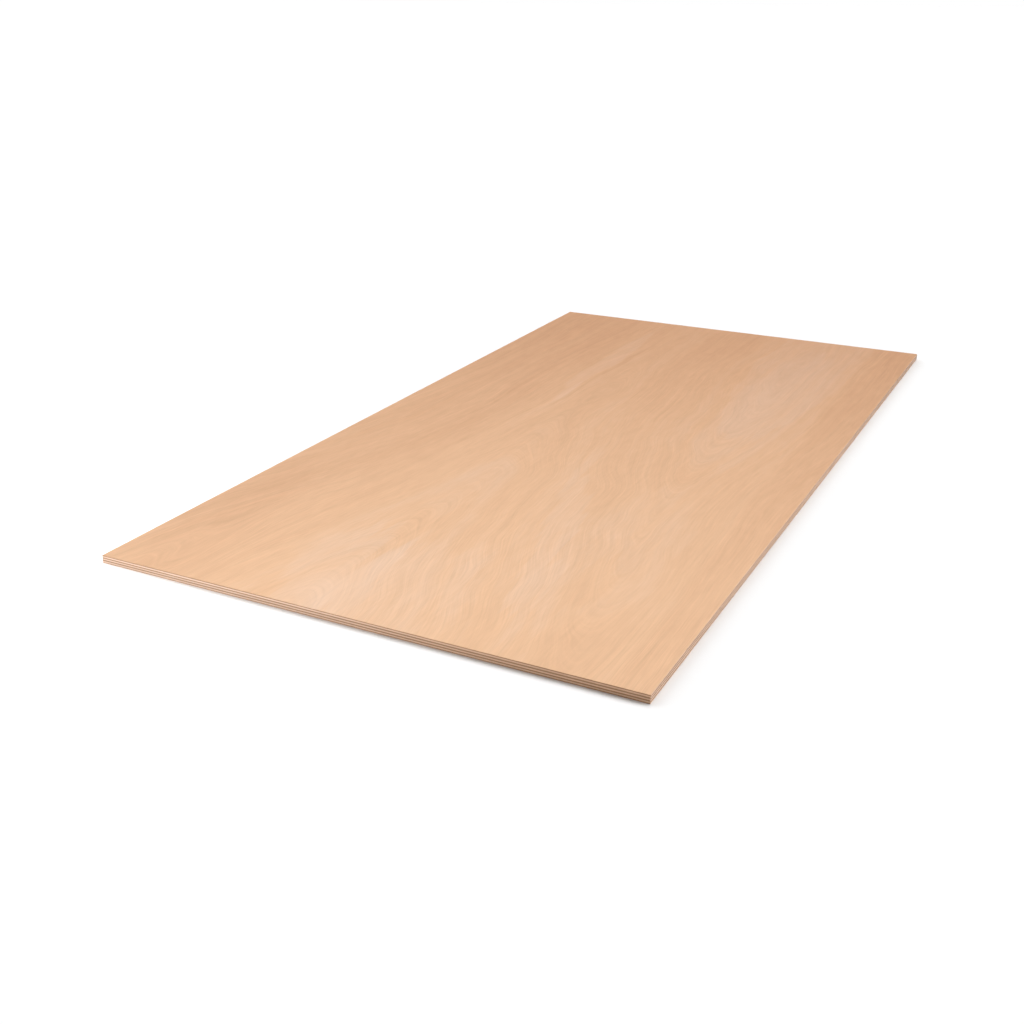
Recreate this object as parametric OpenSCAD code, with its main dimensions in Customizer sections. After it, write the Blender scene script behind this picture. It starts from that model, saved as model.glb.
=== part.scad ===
// Plywood sheet: rotary-cut veneers laid with their grain crossed and glued face to face.
// It lies flat with its face up. X is across the sheet, Y is along it and along the face's
// grain, and Z is up through its thickness. The origin is the middle of the underside.

/* [Sheet] */
// Length of the sheet, along the grain of its face
sheet_length = 2440; // [1200:10:3050]
// Width of the sheet, across the grain of its face
sheet_width = 1220; // [600:10:1530]
// Width of the eased arris round the face and round the back
arris = 0.4; // [0.1:0.1:1]

/* [Plies] */
// Thickness of the face veneer and of the back veneer, after sanding
outer_ply_t = 2.25; // [1.2:0.05:4]
// Thickness of a crossband, a ply whose grain runs across the sheet
crossband_t = 2.7; // [0.8:0.05:4]
// Thickness of a core ply, a ply between crossbands whose grain runs along the sheet
core_ply_t = 2.7; // [0.8:0.05:4]
// Number of crossbands: one more than the core plies between them
crossband_count = 3; // [2:1:8]

/* [Hidden] */
// Number of core plies
core_ply_count = crossband_count - 1;
// Thickness of the whole sheet: 18 with the values above
sheet_t = 2 * outer_ply_t + crossband_count * crossband_t + core_ply_count * core_ply_t;
// Step from one crossband down to the next
layup_step = crossband_t + core_ply_t;
// How far each arris section runs on past the sheet before it is cut to size
overrun = 5;

// Underside of crossband i, counted from 1 under the face
function crossband_z(i) = sheet_t - outer_ply_t - crossband_t - (i - 1) * layup_step;
// Underside of core ply i, counted from 1 at the top
function core_ply_z(i) = crossband_z(i) - core_ply_t;

CROSSBANDS = [for (i = [1:1:crossband_count]) str("crossband_", i)];
CORE_PLIES = [for (i = [1:1:core_ply_count]) str("core_ply_", i)];

// Section of an outer ply, with an eased arris at both ends of its outer side
module eased_section(width) {
    half = width / 2;
    polygon([
        [-half, 0],
        [half, 0],
        [half, outer_ply_t - arris],
        [half - arris, outer_ply_t],
        [arris - half, outer_ply_t],
        [-half, outer_ply_t - arris]
    ]);
}

// Outer ply with its flat side on z = 0 and its eased side up
module outer_ply() {
    intersection() {
        rotate([90, 0, 0])
            linear_extrude(height = sheet_length + 2 * overrun, center = true)
                eased_section(sheet_width);
        rotate([90, 0, 90])
            linear_extrude(height = sheet_width + 2 * overrun, center = true)
                eased_section(sheet_length);
    }
}

// Plain ply of thickness t, with its underside on z = 0
module inner_ply(t) {
    translate([-sheet_width / 2, -sheet_length / 2, 0])
        cube([sheet_width, sheet_length, t]);
}

module face_veneer() {
    color([0.89, 0.72, 0.58])
        translate([0, 0, sheet_t - outer_ply_t])
            outer_ply();
}

module crossband(i) {
    color([0.80, 0.66, 0.52])
        translate([0, 0, crossband_z(i)])
            inner_ply(crossband_t);
}

module core_ply(i) {
    color([0.62, 0.47, 0.35])
        translate([0, 0, core_ply_z(i)])
            inner_ply(core_ply_t);
}

module back_veneer() {
    color([0.84, 0.68, 0.53])
        translate([0, 0, outer_ply_t])
            mirror([0, 0, 1])
                outer_ply();
}

face_veneer();
for (i = [1:1:crossband_count])
    crossband(i);
for (i = [1:1:core_ply_count])
    core_ply(i);
back_veneer();
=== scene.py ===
import math

import bpy
import numpy as np
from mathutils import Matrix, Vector


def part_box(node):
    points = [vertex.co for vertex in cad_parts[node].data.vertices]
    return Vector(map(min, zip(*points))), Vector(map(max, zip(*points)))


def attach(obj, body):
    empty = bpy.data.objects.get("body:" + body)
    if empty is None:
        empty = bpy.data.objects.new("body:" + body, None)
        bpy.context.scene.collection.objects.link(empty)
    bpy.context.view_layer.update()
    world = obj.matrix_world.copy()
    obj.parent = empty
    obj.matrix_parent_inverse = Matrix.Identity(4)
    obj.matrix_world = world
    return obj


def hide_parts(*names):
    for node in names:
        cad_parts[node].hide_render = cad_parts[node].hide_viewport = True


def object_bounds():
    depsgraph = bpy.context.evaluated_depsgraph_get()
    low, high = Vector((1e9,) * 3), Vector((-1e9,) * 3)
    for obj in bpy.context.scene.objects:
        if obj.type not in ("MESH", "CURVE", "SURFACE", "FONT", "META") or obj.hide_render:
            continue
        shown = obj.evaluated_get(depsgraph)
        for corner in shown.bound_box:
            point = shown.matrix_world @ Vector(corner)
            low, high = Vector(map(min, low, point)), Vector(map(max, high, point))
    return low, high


# Looks of a plywood sheet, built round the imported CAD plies. Metres, Z up, origin at the middle of
# the underside. X is across the sheet, and Y is along it and along the grain of its face.

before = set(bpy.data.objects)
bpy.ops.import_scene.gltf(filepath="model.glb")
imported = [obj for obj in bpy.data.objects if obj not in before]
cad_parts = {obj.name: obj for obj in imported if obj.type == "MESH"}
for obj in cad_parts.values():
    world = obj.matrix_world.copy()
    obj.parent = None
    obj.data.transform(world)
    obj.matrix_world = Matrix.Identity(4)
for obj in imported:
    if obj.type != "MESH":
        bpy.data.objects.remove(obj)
cad_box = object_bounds()

HALF_X, HALF_Y, _ = cad_box[1]

# ---------------------------------------------------------------- sizes

EDGE_STEP = 0.005       # length of one facet along a sawn edge
SEAM_DEPTH = 0.00012    # how far the sawn edge dips in at a glue line
SEAM_HEIGHT = 0.00030   # how far up and down from a glue line the dip reaches
SEAM_WANDER = 0.00022   # how far a glue line strays from its level along the edge
HIDDEN_RIM = 0.015      # how far in from the edge a glued side is back at its own level
ARRIS = 0.0004          # width of the eased arris of the face and of the back
TEAR_DEPTH = 0.0007     # deepest fibre torn out of an arris by the saw
LONG_TEARS = 0.35       # depth of tears on the long edges, as a share of those on the short ones
TEAR_BELOW = 0.3        # share of a tear's depth that is left where the arris meets the edge
SAW_WAVE = 0.00010      # waviness of the sawn edge
STRIPS = 12             # pieces that a ply's edge is cut into on its bake map

# ---------------------------------------------------------------- colours


def srgb(red, green, blue):
    """Linear colour of an sRGB colour given as 0 to 255."""
    values = []
    for level in (red, green, blue):
        level /= 255
        values.append(level / 12.92 if level <= 0.04045 else ((level + 0.055) / 1.055) ** 2.4)
    return (*values, 1.0)


WHITE = (1.0, 1.0, 1.0, 1.0)

# ---------------------------------------------------------------- node helper


class Graph:
    """Short calls that make and link shader nodes."""

    def __init__(self, tree):
        self.tree = tree

    def node(self, kind, **settings):
        made = self.tree.nodes.new(kind)
        for name, value in settings.items():
            setattr(made, name, value)
        return made

    def put(self, socket, value):
        if isinstance(value, bpy.types.NodeSocket):
            self.tree.links.new(value, socket)
        elif value is not None:
            socket.default_value = value

    def math(self, operation, a, b=None, c=None):
        made = self.node("ShaderNodeMath", operation=operation)
        for socket, value in zip(made.inputs, (a, b, c)):
            self.put(socket, value)
        return made.outputs[0]

    def add(self, a, b):
        return self.math("ADD", a, b)

    def sub(self, a, b):
        return self.math("SUBTRACT", a, b)

    def mul(self, a, b):
        return self.math("MULTIPLY", a, b)

    def fma(self, a, b, c):
        """a times b plus c."""
        return self.math("MULTIPLY_ADD", a, b, c)

    def step(self, value, low, high, to_low=0.0, to_high=1.0):
        """Smooth step of value from to_low at low to to_high at high."""
        made = self.node("ShaderNodeMapRange", interpolation_type="SMOOTHSTEP")
        for socket, item in zip(made.inputs, (value, low, high, to_low, to_high)):
            self.put(socket, item)
        return made.outputs[0]

    def xyz(self, x, y, z=0.0):
        made = self.node("ShaderNodeCombineXYZ")
        for socket, value in zip(made.inputs, (x, y, z)):
            self.put(socket, value)
        return made.outputs[0]

    def split(self, vector):
        made = self.node("ShaderNodeSeparateXYZ")
        self.put(made.inputs[0], vector)
        return made.outputs[0], made.outputs[1], made.outputs[2]

    def noise(self, vector, detail=2.0, roughness=0.5):
        """Noise about 0, from roughly -1 to 1, one unit of vector to a feature."""
        made = self.node("ShaderNodeTexNoise", noise_dimensions="3D")
        self.put(made.inputs["Vector"], vector)
        made.inputs["Scale"].default_value = 1.0
        made.inputs["Detail"].default_value = detail
        made.inputs["Roughness"].default_value = roughness
        return self.fma(made.outputs[0], 4.0, -2.0)

    def field(self, place, counts, layer, detail=2.0, roughness=0.5):
        """Noise with so many features a metre along each of place's two ways.

        Another layer gives another noise of the same kind."""
        scaled = [self.mul(way, count) for way, count in zip(place, counts)]
        return self.noise(self.xyz(*scaled, layer), detail, roughness)

    def mix(self, factor, a, b, blend="MIX"):
        made = self.node("ShaderNodeMix", data_type="RGBA", blend_type=blend, clamp_factor=True)
        self.put(made.inputs[0], factor)
        self.put(made.inputs[6], a)
        self.put(made.inputs[7], b)
        return made.outputs[2]

    def ramp(self, factor, stops):
        made = self.node("ShaderNodeValToRGB")
        line = made.color_ramp
        while len(line.elements) < len(stops):
            line.elements.new(0.5)
        for element, (place, colour) in zip(line.elements, stops):
            element.position = place
            element.color = colour
        self.put(made.inputs[0], factor)
        return made.outputs[0]

    def turned(self, vector, centre, tilt):
        """Vector from centre, turned so that its own Y runs along the tilt, in degrees from +Y to +X."""
        made = self.node("ShaderNodeVectorRotate", rotation_type="Z_AXIS")
        self.put(made.inputs["Vector"], vector)
        made.inputs["Center"].default_value = (*centre, 0.0)
        made.inputs["Angle"].default_value = math.radians(tilt)
        x, y, _ = self.split(made.outputs[0])
        return self.sub(x, centre[0]), self.sub(y, centre[1])


# ---------------------------------------------------------------- figure of the veneer

# A peeled veneer cuts the growth rings on the flat, so its figure is the contour lines of a smooth
# surface. A fold along the sheet gives nested arches with straight legs, and a hill gives a loop.
FACE_FIGURE = {
    # Each fold: place across the sheet, turn of the slope there, softness, and how far it and
    # the rings on its +X side lean towards +X for each metre nearer than LEAN_START.
    "folds": [(-0.12, 3.60, 0.050, 0.0), (0.31, -3.85, 0.045, 0.14)],
    "slope": -3.75,
    # Rise along the sheet at its near end and at its far end.
    "rise": (0.93, 0.15),
    # Each hill: centre x, y, half width, half length, tilt in degrees, height.
    "hills": [(0.34, -0.80, 0.060, 0.24, -4, 0.05), (-0.43, -1.20, 0.08, 0.26, 0, 0.35)],
    # Each patch of other tone: centre x, y, half width, half length, tilt, softness, strength.
    # Strength is above 0 for paler, greyer wood and below 0 for browner wood.
    "patches": [
        (0.335, 0.92, 0.150, 0.80, 0, 0.07, 0.110),
        (0.335, 0.45, 0.108, 0.62, 0, 0.16, 0.095),
        (0.340, -0.70, 0.120, 0.40, -3, 0.40, 0.095),
        (0.350, -0.85, 0.036, 0.13, -3, 0.60, -0.090),
        (0.190, -0.66, 0.034, 0.56, -14, 0.40, 0.110),
        (0.020, -1.10, 0.160, 0.26, 0, 0.50, 0.120),
        (-0.130, -1.06, 0.100, 0.22, -14, 0.40, 0.150),
        (-0.110, -0.45, 0.070, 0.24, 0, 0.70, 0.050),
        (-0.235, 0.62, 0.030, 0.42, -1, 0.30, 0.130),
        (-0.200, 0.56, 0.009, 0.34, 2, 0.60, -0.140),
        (-0.470, 0.10, 0.200, 1.60, 0, 0.70, -0.150),
        (0.060, 0.72, 0.110, 0.56, 0, 0.60, -0.060),
        (0.560, 0.10, 0.060, 1.30, 0, 0.50, -0.120),
        (-0.540, -1.00, 0.110, 0.40, 0, 0.60, -0.100),
    ],
}
BACK_FIGURE = {
    "folds": [(0.14, 3.10, 0.060, 0.0), (-0.30, -2.80, 0.050, 0.10)],
    "slope": -0.60,
    "rise": (-0.30, -0.70),
    "hills": [(0.46, 0.40, 0.06, 0.22, 0, 0.30)],
    "patches": [
        (0.10, -0.30, 0.16, 0.80, -3, 0.50, 0.12),
        (-0.38, 0.60, 0.10, 0.55, 2, 0.60, 0.10),
        (-0.52, -0.40, 0.07, 0.90, 0, 0.80, -0.12),
        (0.40, 0.40, 0.08, 0.50, 4, 0.70, -0.10),
    ],
}

RINGS = 34.0            # growth rings per unit of height of the surface
DRIFT = 0.15            # height of the slow unevenness of the surface
WOBBLE = 0.018          # height of its quick unevenness
SWAY = 0.02             # how far the folds stray sideways along the sheet
SWAY_COUNT = 1.8        # features a metre of that straying
RISE_BLEND = 0.25       # length over which the rise along the sheet changes
LEAN_START = -0.30      # place along the sheet where a fold starts to lean
FINGER_REACH = 0.13     # how far the fingers of a patch reach along the grain
FINGER_EDGE = 0.10      # how much they add to a patch's reach, which is 1 at its rim
PATCH_BEND = 0.016      # how far the sides of a patch stray across the grain

# Each noise over a flat side: features a metre across and along it, layer, detail, roughness.
FLAT_NOISES = {
    "drift": ((3.2, 0.9), 0.0, 2.0, 0.45),
    "wobble": ((13.0, 4.5), 3.0, 2.0, 0.5),
    "finger": ((24.0, 1.1), 2.0, 3.0, 0.55),
    "bend": ((3.0, 2.6), 4.0, 2.0, 0.5),
    "streak": ((150.0, 6.0), 1.0, 2.0, 0.6),
    "strand": ((420.0, 9.0), 0.0, 3.0, 0.65),
    "cloud": ((9.0, 3.0), 5.0, 3.0, 0.55),
    "fleck": ((45.0, 17.0), 6.0, 2.0, 0.6),
    "show": ((2.6, 1.5), 9.0, 1.0, 0.5),
    "pore": ((900.0, 45.0), 8.0, 1.0, 0.5),
}

# How strongly each detail changes the tone of the veneer, from browner to paler.
TONE_WEIGHTS = {"band": 0.085, "cloud": 0.050, "fleck": 0.040, "ring": 0.020, "fibre": 0.015}
# How strongly it lightens the veneer: first the details that show more in some areas, then the rest.
RING_WEIGHTS = {"wave": 0.026, "ring": 0.030, "line": -0.045, "fibre": 0.038}
GRAIN_WEIGHTS = {"fleck": 0.010, "streak": 0.028, "strand": 0.022, "pore": -0.07}
TONE_SPREAD = 0.9       # how far the tone moves along the ramp of the veneer's colours
SHOW_SPREAD = 0.55      # how much more or less the rings show from area to area


def flat_noise(g, x, y, kind, seed):
    """One of FLAT_NOISES, at a place on a flat side."""
    counts, layer, detail, roughness = FLAT_NOISES[kind]
    return g.field((x, y), counts, seed + layer, detail, roughness)


def figure_height(g, x, y, figure, seed):
    """Height of the surface whose contour lines are the growth rings."""
    drift = flat_noise(g, x, y, "drift", seed)
    wobble = flat_noise(g, x, y, "wobble", seed)
    sway = g.noise(g.xyz(0.0, g.mul(y, SWAY_COUNT), seed + 7.0))
    across = g.fma(sway, SWAY, x)
    height = g.fma(drift, DRIFT, g.mul(x, figure["slope"]))
    height = g.fma(wobble, WOBBLE, height)
    near_rise, far_rise = figure["rise"]
    height = g.fma(y, (near_rise + far_rise) / 2, height)
    bent = g.math("SQRT", g.fma(y, y, RISE_BLEND ** 2))
    height = g.fma(bent, (far_rise - near_rise) / 2, height)
    before = g.sub(LEAN_START, y)
    before = g.mul(g.add(g.math("SQRT", g.fma(before, before, RISE_BLEND ** 2)), before), 0.5)
    for place, turn, softness, lean in figure["folds"]:
        off = g.sub(g.fma(before, -lean, across), place)
        height = g.fma(g.math("SQRT", g.fma(off, off, softness ** 2)), turn, height)
        height = g.fma(before, -turn * lean, height)
    place = g.xyz(x, y)
    for hx, hy, half_width, half_length, tilt, rise in figure["hills"]:
        off, along = g.turned(place, (hx, hy), tilt)
        off = g.mul(off, 1 / half_width)
        along = g.mul(along, 1 / half_length)
        squares = g.fma(off, off, g.mul(along, along))
        height = g.fma(g.math("EXPONENT", g.mul(squares, -1.0)), rise, height)
    return height


def tone(g, x, y, patches, seed):
    """Paler and browner areas of the veneer, about 0, that end in long fingers along the grain."""
    finger = flat_noise(g, x, y, "finger", seed)
    bend = flat_noise(g, x, y, "bend", seed)
    place = g.xyz(g.fma(bend, PATCH_BEND, x), g.fma(finger, FINGER_REACH, y))
    total = 0.0
    for px, py, half_width, half_length, tilt, softness, strength in patches:
        across, along = g.turned(place, (px, py), tilt)
        across = g.mul(across, 1 / half_width)
        along = g.mul(along, 1 / half_length)
        reach = g.fma(across, across, g.mul(along, along))
        reach = g.fma(finger, FINGER_EDGE, reach)
        total = g.add(g.step(reach, 1 - softness, 1 + softness, strength, 0.0), total)
    return total


def veneer_details(g, x, y, height, seed):
    """Strength of each kind of ring, fibre and pore on the flat side of a peeled veneer."""
    # Rings: one line of noise read along the height, so that every ring has its own width.
    ring = g.noise(g.xyz(g.mul(height, RINGS), seed, 0.0), 3.0, 0.68)
    details = {
        "ring": ring,
        "line": g.step(ring, 0.15, 0.65),
        "band": g.noise(g.xyz(g.mul(height, 7.0), seed + 11.0, g.mul(y, 0.6)), 1.0, 0.5),
        "wave": g.noise(g.xyz(g.mul(height, 15.0), seed + 13.0, g.mul(y, 0.8)), 1.0, 0.5),
        # Fibres follow the rings and are broken along them.
        "fibre": g.noise(g.xyz(g.mul(height, 90.0), g.mul(y, 7.0), g.mul(x, 7.0)), 2.0, 0.6),
    }
    for kind in ("streak", "strand", "cloud", "fleck"):
        details[kind] = flat_noise(g, x, y, kind, seed)
    details["pore"] = g.step(flat_noise(g, x, y, "pore", seed), 0.75, 1.25)
    return details


def veneer_colour(g, x, y, figure, seed, palette):
    """Colour and relief of the flat side of a peeled veneer."""
    details = veneer_details(g, x, y, figure_height(g, x, y, figure, seed), seed)
    show = g.fma(flat_noise(g, x, y, "show", seed), SHOW_SPREAD, 1.0)

    pale = tone(g, x, y, figure["patches"], seed)
    for kind, weight in TONE_WEIGHTS.items():
        pale = g.fma(details[kind], weight, pale)
    colour = g.ramp(g.fma(pale, TONE_SPREAD, 0.5), [
        (0.20, palette["brown"]),
        (0.50, palette["middle"]),
        (0.62, palette["pale"]),
        (0.98, palette["cream"]),
    ])

    # Painted shade: the veneer is darker and browner towards +Y, standing in for the light falling off
    # towards the far end of the sheet.
    along = g.step(y, -HALF_Y, HALF_Y * 1.45)
    colour = g.mix(1.0, colour, g.mix(along, palette["near_painted_shade"], palette["far"]), "MULTIPLY")

    shade = 1.0
    for kind, weight in RING_WEIGHTS.items():
        shade = g.fma(g.mul(details[kind], show), weight, shade)
    for kind, weight in GRAIN_WEIGHTS.items():
        shade = g.fma(details[kind], weight, shade)
    colour = g.mix(1.0, colour, g.xyz(shade, shade, shade), "MULTIPLY")
    relief = g.fma(details["pore"], -0.6, g.fma(details["strand"], 0.25, g.mul(details["ring"], 0.15)))
    return colour, relief


# Each noise over a sawn edge: features along it and up it, layer, detail, roughness. Up it, the first
# three count features a ply, and the last two features a metre.
EDGE_NOISES = {
    "dab": ((40.0, 0.8), 0.0, 3.0, 0.6),
    "speck": ((1300.0, 4.0), 0.0, 2.0, 0.6),
    "streak": ((60.0, 9.0), 2.0, 3.0, 0.6),
    "ply_tone": ((0.9, 330.0), 3.0, 1.0, 0.5),
    "glue_shown": ((1.3, 170.0), 8.0, 1.0, 0.5),
}
END_SPECKS = 0.10       # strength of the specks of cut fibres on end grain
SIDE_STREAKS = 0.06     # strength of the streaks on side grain
EDGE_DRIFT = 0.05       # how much a ply's shade drifts along its edge
EDGE_DABS = 0.035       # strength of its small light and dark places
PLY_TONES = 0.12        # how much darker or lighter some plies are than others
FAR_PAINTED_SHADE = 0.84     # painted shade that the edges tend to beyond the sheet's far end, for the light falling off there
GLUE_SHADE = 0.19       # how dark a glue line is on average
GLUE_SPREAD = 0.22      # how much more or less it shows from place to place
# Painted shade: tint of the short edges towards +X, for the near edge's shade towards the near corner.
PAINTED_CORNER_TINT = (0.88, 0.79, 0.69, 1.0)


def edge_noise(g, along, up, kind, seed):
    """One of EDGE_NOISES, at a place on a sawn edge."""
    counts, layer, detail, roughness = EDGE_NOISES[kind]
    return g.field((along, up), counts, seed + layer, detail, roughness)


def sawn_colour(g, place, coord_s, coord_v, on_short, end_grain, palette, seed):
    """Colour and relief of a ply's sawn edge. end_grain is 1 where its fibres are cut across."""
    x, y, z = place
    drift = g.noise(g.xyz(g.mul(coord_s, 4.0), seed, 0.0), 3.0, 0.6)
    dab = edge_noise(g, coord_s, coord_v, "dab", seed)
    speck = edge_noise(g, coord_s, coord_v, "speck", seed)
    streak = edge_noise(g, coord_s, coord_v, "streak", seed)
    colour = g.mix(end_grain, palette["side_grain"], palette["end_grain"])
    specks = g.mul(g.mul(speck, end_grain), END_SPECKS)
    streaks = g.mul(g.mul(streak, g.sub(1.0, end_grain)), SIDE_STREAKS)
    fine = g.add(specks, streaks)
    # Some plies are darker than others, and some glue lines show less, and that changes along them.
    ply_tone = edge_noise(g, coord_s, z, "ply_tone", 0.0)
    shade = g.fma(drift, EDGE_DRIFT, g.fma(ply_tone, PLY_TONES, 1.0))
    shade = g.fma(dab, EDGE_DABS, shade)
    shade = g.add(shade, fine)
    # Painted shade: the edges darken towards the far end, standing in for the light falling off there.
    shade = g.mul(shade, g.step(y, 0.0, HALF_Y * 1.2, 1.0, FAR_PAINTED_SHADE))
    # Glue line at the top and the bottom of the ply.
    middle = g.math("ABSOLUTE", g.sub(coord_v, 0.5))
    glue = g.step(middle, 0.45, 0.5)
    shown = g.fma(edge_noise(g, coord_s, z, "glue_shown", 0.0), GLUE_SPREAD, GLUE_SHADE)
    shade = g.mul(shade, g.sub(1.0, g.mul(glue, shown)))
    colour = g.mix(1.0, colour, g.xyz(shade, shade, shade), "MULTIPLY")
    # Painted shade: the short edges are darker and browner towards +X, where the near edge falls in
    # shade towards the near corner.
    painted_corner_shade = g.mul(on_short, g.step(x, -HALF_X * 0.6, HALF_X))
    colour = g.mix(1.0, colour, g.mix(painted_corner_shade, WHITE, PAINTED_CORNER_TINT), "MULTIPLY")
    relief = g.fma(fine, 4.0, g.mul(glue, -0.8))
    return colour, relief


FACE_PALETTE = {
    "brown": srgb(224, 176, 140),
    "middle": srgb(236, 191, 155),
    "pale": srgb(237, 195, 163),
    "cream": srgb(239, 205, 182),
    # Painted shade: multipliers from the near end to the far end of the face, for the light falling off
    # along the sheet.
    "near_painted_shade": (0.935, 0.945, 0.920, 1.0),
    "far": (0.705, 0.622, 0.548, 1.0),
    "side_grain": srgb(232, 202, 181),
    "end_grain": srgb(190, 150, 121),
}
BACK_PALETTE = {
    **FACE_PALETTE,
    "brown": srgb(216, 166, 126),
    "middle": srgb(228, 180, 142),
    "pale": srgb(232, 188, 152),
    "cream": srgb(236, 198, 166),
    # Painted shade towards the far end of the back too, weaker than on the face.
    "far": (0.82, 0.79, 0.76, 1.0),
}
EDGE_PALETTE = {
    "side_grain": srgb(234, 204, 183),
    "end_grain": srgb(185, 145, 116),
}


SAWN_ROUGHNESS = 0.78   # of side grain on a sawn edge
END_ROUGHER = 0.08      # added on end grain
VENEER_CHANGE = -0.16   # added on the sanded flat side
RELIEF_ROUGHER = 0.02   # added for each unit of relief there
SAWN_BUMP = 0.00010     # height of one unit of relief on a ply that shows only its sawn edge
VENEER_BUMP = 0.00006   # and on a ply that shows a flat side too
BUMP_STRENGTH = 0.6
WOOD_SPECULAR = 0.15


def ply_material(name, grain_along, seed, palette, figure=None):
    """Wood of one ply. figure is that of its flat side, where that shows."""
    material = bpy.data.materials.new(name)
    material.use_nodes = True
    tree = material.node_tree
    tree.nodes.clear()
    g = Graph(tree)
    x, y, z = g.split(g.node("ShaderNodeTexCoord").outputs["Object"])
    coord_s, coord_v, _ = g.split(g.node("ShaderNodeUVMap", uv_map="section").outputs[0])
    facing = g.node("ShaderNodeNewGeometry").outputs["Normal"]
    _, facing_y, facing_z = g.split(facing)
    on_short = g.step(g.math("ABSOLUTE", facing_y), 0.45, 0.55)
    end_grain = on_short if grain_along else g.sub(1.0, on_short)
    colour, relief = sawn_colour(g, (x, y, z), coord_s, coord_v, on_short, end_grain, palette, seed)
    rough = g.fma(end_grain, END_ROUGHER, SAWN_ROUGHNESS)
    if figure:
        flat = g.step(g.math("ABSOLUTE", facing_z), 0.6, 0.8)
        flat_colour, flat_relief = veneer_colour(g, x, y, figure, seed, palette)
        colour = g.mix(flat, colour, flat_colour)
        relief = g.fma(g.sub(flat_relief, relief), flat, relief)
        rough = g.fma(flat, VENEER_CHANGE, rough)
        rough = g.fma(flat_relief, RELIEF_ROUGHER, rough)
    bump = g.node("ShaderNodeBump")
    bump.inputs["Strength"].default_value = BUMP_STRENGTH
    bump.inputs["Distance"].default_value = VENEER_BUMP if figure else SAWN_BUMP
    g.put(bump.inputs["Height"], relief)
    shader = g.node("ShaderNodeBsdfPrincipled")
    shader.inputs["Specular IOR Level"].default_value = WOOD_SPECULAR
    g.put(shader.inputs["Base Color"], colour)
    g.put(shader.inputs["Roughness"], rough)
    g.put(shader.inputs["Normal"], bump.outputs[0])
    g.put(g.node("ShaderNodeOutputMaterial").inputs[0], shader.outputs[0])
    return material


# ---------------------------------------------------------------- meshes of the plies


def rim_path():
    """Points round the sheet, each with the direction that leads in from the edge."""
    long_count = round(2 * HALF_Y / EDGE_STEP)
    short_count = round(2 * HALF_X / EDGE_STEP)
    corners = [(-1, -1), (1, -1), (1, 1), (-1, 1)]
    counts = [short_count, long_count, short_count, long_count]
    points, inward = [], []
    for k, count in enumerate(counts):
        start = np.array(corners[k], float) * (HALF_X, HALF_Y)
        end = np.array(corners[(k + 1) % 4], float) * (HALF_X, HALF_Y)
        along = (end - start) / np.linalg.norm(end - start)
        turn = np.array([-along[1], along[0]])
        for i in range(count):
            points.append(start + (end - start) * i / count)
            inward.append(turn if i else turn + np.array([along[0], along[1]]))
    return np.array(points), np.array(inward)


RIM, INWARD = rim_path()
RIM_COUNT = len(RIM)
RIM_LENGTH = 4 * (HALF_X + HALF_Y)
ON_SHORT = np.abs(np.abs(RIM[:, 1]) - HALF_Y) < 1e-9


def rim_noise(spacing, rng):
    """Values about 0 round the rim, smooth over the given spacing."""
    knots = max(4, round(RIM_LENGTH / spacing))
    values = rng.uniform(-1, 1, knots)
    place = np.arange(RIM_COUNT) * knots / RIM_COUNT
    left = np.floor(place).astype(int)
    blend = place - left
    blend = blend * blend * (3 - 2 * blend)
    return values[left % knots] * (1 - blend) + values[(left + 1) % knots] * blend


def glue_line(level):
    """Height of the rim's points on the glue line at that level."""
    rng = np.random.default_rng(round(level * 1e6))
    wander = rim_noise(0.11, rng) + 0.5 * rim_noise(0.03, rng)
    return level + SEAM_WANDER * wander / 1.5


def saw_wave():
    """How far the sawn edge dips in at each point of the rim, from none to SAW_WAVE."""
    rng = np.random.default_rng(7)
    wave = rim_noise(0.35, rng) + 0.6 * rim_noise(0.02, rng)
    return SAW_WAVE * (wave - wave.min()) / np.ptp(wave)


SAW = saw_wave()


def tears(seed):
    """Depth of the fibres torn from an arris, mostly where the saw crosses the grain."""
    rng = np.random.default_rng(seed)
    rough = np.abs(rim_noise(0.009, rng))
    often = 0.5 + 0.5 * rim_noise(0.16, rng)
    return TEAR_DEPTH * rough ** 4 * often * np.where(ON_SHORT, 1.0, LONG_TEARS)


def rim_ring(height, dip):
    """Ring of points on the sawn edge at a height, dipped in from the sheet's outline."""
    ring = np.empty((RIM_COUNT, 3))
    ring[:, :2] = RIM + INWARD * np.asarray(dip).reshape(-1, 1)
    ring[:, 2] = height
    return ring


def ply_rings(bottom, top, outer_side, seed):
    """Rings of a ply from its lower side to its upper side, with the height of each in the ply."""
    height = top - bottom
    low = glue_line(bottom) if outer_side != "below" else np.full(RIM_COUNT, bottom)
    high = glue_line(top) if outer_side != "above" else np.full(RIM_COUNT, top)
    rows = []
    if outer_side == "below":
        torn = tears(seed)
        rows.append((rim_ring(bottom, SAW + ARRIS + torn), 0.0))
        rows.append((rim_ring(bottom + ARRIS, SAW + TEAR_BELOW * torn), ARRIS / height))
    else:
        rows.append((rim_ring(bottom, HIDDEN_RIM), 0.0))
        rows.append((rim_ring(low, SAW + SEAM_DEPTH), 0.0))
        rows.append((rim_ring(low + SEAM_HEIGHT, SAW), SEAM_HEIGHT / height))
    rows.append((rim_ring((low + high) / 2, SAW), 0.5))
    if outer_side == "above":
        torn = tears(seed)
        rows.append((rim_ring(top - ARRIS, SAW + TEAR_BELOW * torn), 1 - ARRIS / height))
        rows.append((rim_ring(top, SAW + ARRIS + torn), 1.0))
    else:
        rows.append((rim_ring(high - SEAM_HEIGHT, SAW), 1 - SEAM_HEIGHT / height))
        rows.append((rim_ring(high, SAW + SEAM_DEPTH), 1.0))
        rows.append((rim_ring(top, HIDDEN_RIM), 1.0))
    return rows


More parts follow.
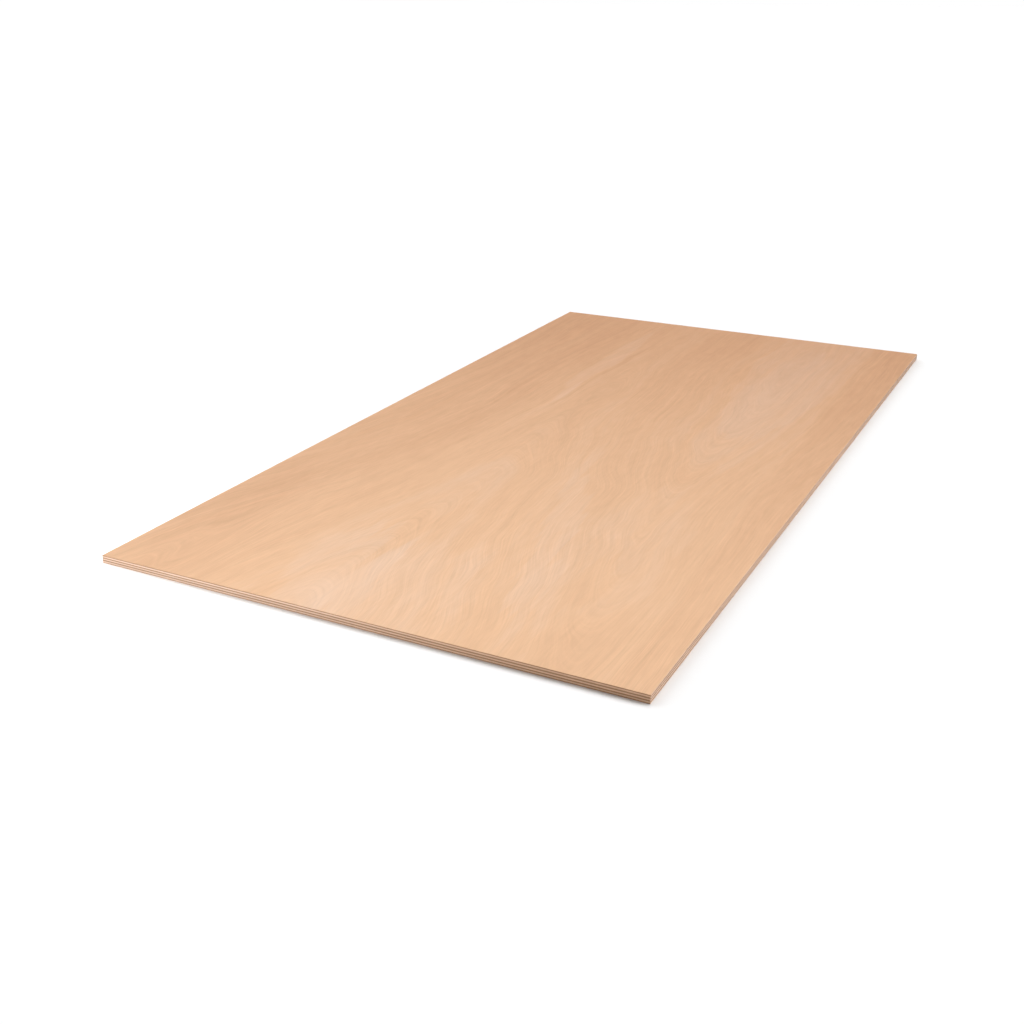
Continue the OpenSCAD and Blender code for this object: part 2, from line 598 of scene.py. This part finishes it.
# Shares of the bake map's height: the strips of the edge come first, then the lower and the upper
# flat side, from low to high. The side of the ply that shows gets most of it.
BAKE_STRIPS = {None: 0.90, "above": 0.16, "below": 0.16}
BAKE_FLATS = {
    None: ((0.91, 0.95), (0.96, 1.0)),
    "above": ((0.17, 0.19), (0.20, 1.0)),
    "below": ((0.20, 1.0), (0.17, 0.19)),
}


def bake_place(point, share):
    """Place of a flat side's point on the bake map, in the share (low, high) of its height."""
    u = (point[0] + HALF_X) / (2 * HALF_X)
    v = (point[1] + HALF_Y) / (2 * HALF_Y)
    return u, share[0] + v * (share[1] - share[0])


def ply_mesh(name, rows, outer_side):
    """Closed mesh of a ply, with a UV map of its sawn section and one that bakes finely."""
    verts = np.concatenate([ring for ring, _ in rows])
    count, levels = RIM_COUNT, len(rows)
    faces, section, bake = [], [], []
    per_strip = count // STRIPS
    flat_shares = BAKE_FLATS[outer_side]
    strip_height = BAKE_STRIPS[outer_side] / STRIPS
    for level in range(levels - 1):
        v0, v1 = rows[level][1], rows[level + 1][1]
        hidden = v0 == v1
        for i in range(count):
            j = (i + 1) % count
            a, b = level * count + i, level * count + j
            faces.append((a, b, b + count, a + count))
            s0, s1 = i * EDGE_STEP, (i + 1) * EDGE_STEP
            section += [(s0, v0), (s1, v0), (s1, v1), (s0, v1)]
            if hidden:
                share = flat_shares[0] if level == 0 else flat_shares[1]
                bake += [bake_place(verts[k], share) for k in faces[-1]]
            else:
                strip, place = divmod(i, per_strip)
                u0, u1 = place / per_strip, (place + 1) / per_strip
                base = strip * strip_height
                low, high = (base + strip_height * (0.05 + 0.9 * v) for v in (v0, v1))
                bake += [(u0, low), (u1, low), (u1, high), (u0, high)]
    lower = tuple(range(count - 1, -1, -1))
    upper = tuple(range((levels - 1) * count, levels * count))
    for cap, share, level in ((lower, flat_shares[0], 0.0), (upper, flat_shares[1], 1.0)):
        faces.append(cap)
        section += [(verts[k][0], level) for k in cap]
        bake += [bake_place(verts[k], share) for k in cap]
    mesh = bpy.data.meshes.new(name)
    mesh.from_pydata(verts.tolist(), [], faces)
    for layer_name, values in (("section", section), ("OFBake", bake)):
        layer = mesh.uv_layers.new(name=layer_name)
        layer.data.foreach_set("uv", np.array(values, np.float32).ravel())
    mesh.validate()
    return mesh


def build_ply(node, outer_side, seed, material):
    """Detailed ply in the place of its CAD node."""
    low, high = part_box(node)
    rows = ply_rings(low.z, high.z, outer_side, seed)
    piece = bpy.data.objects.new(f"{node}_wood", ply_mesh(node, rows, outer_side))
    bpy.context.scene.collection.objects.link(piece)
    piece.data.materials.append(material)
    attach(piece, "root")
    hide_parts(node)
    return piece


# Each kind of inner ply: whether its grain runs along the sheet, and the first seed of its looks.
INNER_PLIES = {"crossband": (False, 30.0), "core_ply": (True, 40.0)}


def build_sheet():
    """All plies, each in the wood that its record slot names."""
    plies = [
        build_ply("face_veneer", "above", 21,
                  ply_material("face_veneer_wood", True, 21.0, FACE_PALETTE, FACE_FIGURE)),
        build_ply("back_veneer", "below", 22,
                  ply_material("back_veneer_wood", True, 57.0, BACK_PALETTE, BACK_FIGURE)),
    ]
    for number, node in enumerate(sorted(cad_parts)):
        for record_slot, (grain_along, first_seed) in INNER_PLIES.items():
            if node.startswith(record_slot):
                wood = ply_material(f"{node}_wood", grain_along, first_seed + number, EDGE_PALETTE)
                plies.append(build_ply(node, None, number, wood))
    return plies


plies = build_sheet()

# ---------------------------------------------------------------- floor, light and camera

FLOOR_HALF = 60.0       # half the width of the floor
FLOOR_WHITE = 0.95
AMBIENT = 0.07          # strength of the light from the white surroundings

# Each sun: the way towards it, its share of the light on a level surface, its width in degrees.
SUNS = {
    "bank_middle": ((0.0, 0.66, 1.0), 0.46, 42),
    "bank_right": ((1.4, 0.62, 1.0), 0.27, 46),
    "bank_left": ((-1.5, 0.50, 1.0), 0.27, 55),
    "front": ((-0.5, -1.0, 0.3), 0.010, 40),
}
SOFTBOX_COLOUR = (0.96, 0.99, 1.0)

CAMERA_PLACE = (1.227, -3.054, 1.139)
CAMERA_TARGET = (-0.078, -0.616, 0.0)
CAMERA_LENS = 45.54     # in millimetres, on a sensor 36 mm wide
CAMERA_SENSOR = 36.0
CAMERA_SHIFT = 0.05     # sideways shift, as a share of the picture's width


def build_floor():
    """Plain white floor under the sheet."""
    mesh = bpy.data.meshes.new("floor")
    corners = [(-1, -1), (1, -1), (1, 1), (-1, 1)]
    mesh.from_pydata([(x * FLOOR_HALF, y * FLOOR_HALF, 0) for x, y in corners], [], [(0, 1, 2, 3)])
    floor = bpy.data.objects.new("floor", mesh)
    bpy.context.scene.collection.objects.link(floor)
    material = bpy.data.materials.new("floor_white")
    material.use_nodes = True
    shader = material.node_tree.nodes["Principled BSDF"]
    shader.inputs["Base Color"].default_value = (FLOOR_WHITE, FLOOR_WHITE, FLOOR_WHITE, 1)
    shader.inputs["Roughness"].default_value = 1.0
    shader.inputs["Specular IOR Level"].default_value = 0.0
    mesh.materials.append(material)
    return floor


def build_world():
    """White surroundings that light the sheet evenly but dimly, and look white to the camera."""
    world = bpy.data.worlds.new("studio")
    world.use_nodes = True
    bpy.context.scene.world = world
    tree = world.node_tree
    tree.nodes.clear()
    g = Graph(tree)
    lit = g.node("ShaderNodeBackground")
    lit.inputs["Color"].default_value = WHITE
    lit.inputs["Strength"].default_value = AMBIENT
    seen = g.node("ShaderNodeBackground")
    seen.inputs["Color"].default_value = WHITE
    seen.inputs["Strength"].default_value = 1.0
    choice = g.node("ShaderNodeMixShader")
    g.put(choice.inputs[0], g.node("ShaderNodeLightPath").outputs["Is Camera Ray"])
    g.put(choice.inputs[1], lit.outputs[0])
    g.put(choice.inputs[2], seen.outputs[0])
    g.put(g.node("ShaderNodeOutputWorld").inputs[0], choice.outputs[0])


def aim(thing, place, target):
    """Put a lamp or a camera at a place, facing the target."""
    thing.location = place
    thing.rotation_euler = (Vector(target) - Vector(place)).to_track_quat("-Z", "Y").to_euler()


def add_sun(name, toward, share, angle):
    """Distant soft light from a direction, adding share to the light that a level surface gets."""
    lamp = bpy.data.lights.new(name, "SUN")
    lamp.angle = math.radians(angle)
    lamp.energy = share * math.pi * Vector(toward).length / toward[2]
    lamp_object = bpy.data.objects.new(name, lamp)
    aim(lamp_object, toward, (0, 0, 0))
    bpy.context.scene.collection.objects.link(lamp_object)


def add_softbox(name, place, target, size, power, spread, lit_only):
    """Near soft light of a size and a power in watts that lights the given objects alone."""
    lamp = bpy.data.lights.new(name, "AREA")
    lamp.shape = "RECTANGLE"
    lamp.size, lamp.size_y = size
    lamp.energy = power
    lamp.color = SOFTBOX_COLOUR
    lamp.spread = math.radians(spread)
    lamp_object = bpy.data.objects.new(name, lamp)
    aim(lamp_object, place, target)
    lamp_object.visible_camera = False
    lamp_object.visible_glossy = False
    bpy.context.scene.collection.objects.link(lamp_object)
    lit = bpy.data.collections.new(f"{name}_lit")
    for thing in lit_only:
        lit.objects.link(thing)
    lamp_object.light_linking.receiver_collection = lit


def build_lights(floor, plies):
    """A broad bank of light behind the sheet, and weak fills in front of its near edge."""
    for name, (toward, share, angle) in SUNS.items():
        add_sun(name, toward, share, angle)
    add_softbox("fill", place=(-0.36, -2.30, 0.20), target=(-0.25, -HALF_Y, 0.01),
                size=(0.8, 0.3), power=2.1, spread=100, lit_only=plies)
    add_softbox("floor_fill", place=(-1.20, -1.75, 0.30), target=(-0.60, -HALF_Y, 0),
                size=(0.5, 0.3), power=4.4, spread=90, lit_only=[floor])


def build_camera():
    """The photo's view, over the near right corner."""
    camera = bpy.data.cameras.new("camera")
    camera.lens = CAMERA_LENS
    camera.sensor_width = CAMERA_SENSOR
    camera.shift_x = CAMERA_SHIFT
    camera_object = bpy.data.objects.new("camera", camera)
    aim(camera_object, CAMERA_PLACE, CAMERA_TARGET)
    bpy.context.scene.collection.objects.link(camera_object)
    bpy.context.scene.camera = camera_object


build_world()
build_lights(build_floor(), plies)
build_camera()
bpy.context.scene.view_settings.view_transform = "Standard"
